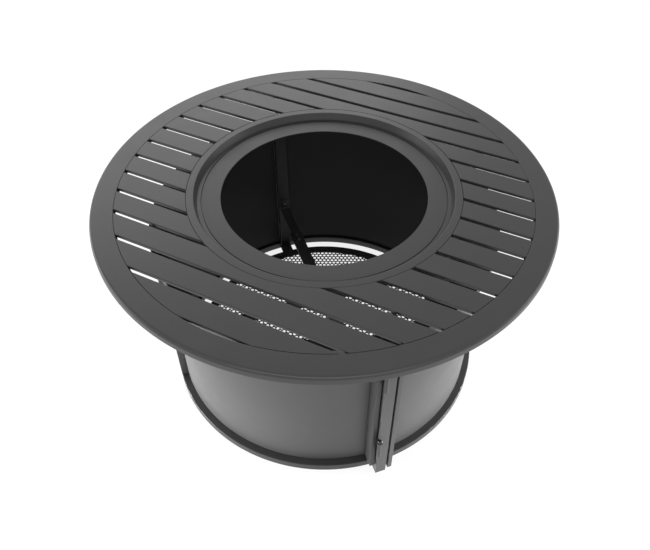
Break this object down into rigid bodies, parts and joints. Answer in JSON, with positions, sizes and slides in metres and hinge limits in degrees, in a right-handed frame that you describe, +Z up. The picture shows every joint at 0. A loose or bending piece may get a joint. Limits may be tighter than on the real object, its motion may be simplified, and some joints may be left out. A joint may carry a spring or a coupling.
{
  "type": "round fire pit table",
  "caption": "Round slatted outdoor fire pit table: open burner well in the middle, drum base with crossed bars, perforated tray and a curved quarter door on barrel hinges.",
  "frame": {"origin": "on the floor at the centre of the round table", "axes": "+Z up along the table's axis; -Y towards the viewer in the picture; the hinge leg stands 19.1 degrees to the right of -Y"},
  "size_m": [1.3715, 1.3716, 0.7273],
  "materials": {
    "powder_coat": "fine textured satin powder coat, dark graphite",
    "dark_steel": "satin black paint",
    "hinge_steel": "satin black paint",
    "fastener_steel": "blackened"
  },
  "bodies": {
    "table": {"base_ring_lower": "powder_coat", "base_ring_upper": "powder_coat", "brace_bar": "dark_steel", "brace_bolts": "fastener_steel", "brace_bracket_front": "dark_steel", "brace_bracket_rear": "dark_steel", "brace_cross_strap": "dark_steel", "burner_plate": "powder_coat", "hinge_knuckle_lower": "powder_coat", "hinge_knuckle_upper": "powder_coat", "hinge_leg_bar": "powder_coat", "hinge_leg_plate": "powder_coat", "hinge_pins": "hinge_steel", "panel_left": "powder_coat", "panel_rear": "powder_coat", "panel_right": "powder_coat", "post_front_left": "powder_coat", "post_front_right": "powder_coat", "post_rear_left": "powder_coat", "post_rear_right": "powder_coat", "slat_front_1_left": "powder_coat", "slat_front_1_right": "powder_coat", "slat_front_2_left": "powder_coat", "slat_front_2_right": "powder_coat", "slat_front_3_left": "powder_coat", "slat_front_3_right": "powder_coat", "slat_front_4_left": "powder_coat", "slat_front_4_right": "powder_coat", "slat_front_5": "powder_coat", "slat_front_6": "powder_coat", "slat_front_7": "powder_coat", "slat_middle_left": "powder_coat", "slat_middle_right": "powder_coat", "slat_rear_1_left": "powder_coat", "slat_rear_1_right": "powder_coat", "slat_rear_2_left": "powder_coat", "slat_rear_2_right": "powder_coat", "slat_rear_3_left": "powder_coat", "slat_rear_3_right": "powder_coat", "slat_rear_4_left": "powder_coat", "slat_rear_4_right": "powder_coat", "slat_rear_5": "powder_coat", "slat_rear_6": "powder_coat", "slat_rear_7": "powder_coat", "support_arm_front_left": "powder_coat", "support_arm_front_right": "powder_coat", "support_arm_rear_left": "powder_coat", "support_arm_rear_right": "powder_coat", "support_bolts": "fastener_steel", "top_rim": "powder_coat", "tray_rim": "dark_steel", "tray_sheet": "dark_steel", "well_ring": "powder_coat"},
    "door": {"door_panel": "powder_coat", "door_frame": "powder_coat", "door_stile": "powder_coat", "hinge_leaf_lower": "powder_coat", "hinge_leaf_upper": "powder_coat", "hinge_screws": "fastener_steel"}
  },
  "joints": [
    {"name": "door_hinge", "type": "hinge", "parent": "table", "child": "door", "pos_m": [0.16334, -0.55649, 0.3], "axis": [0, 0, 1], "range_deg": [0, 180]}
  ]
}
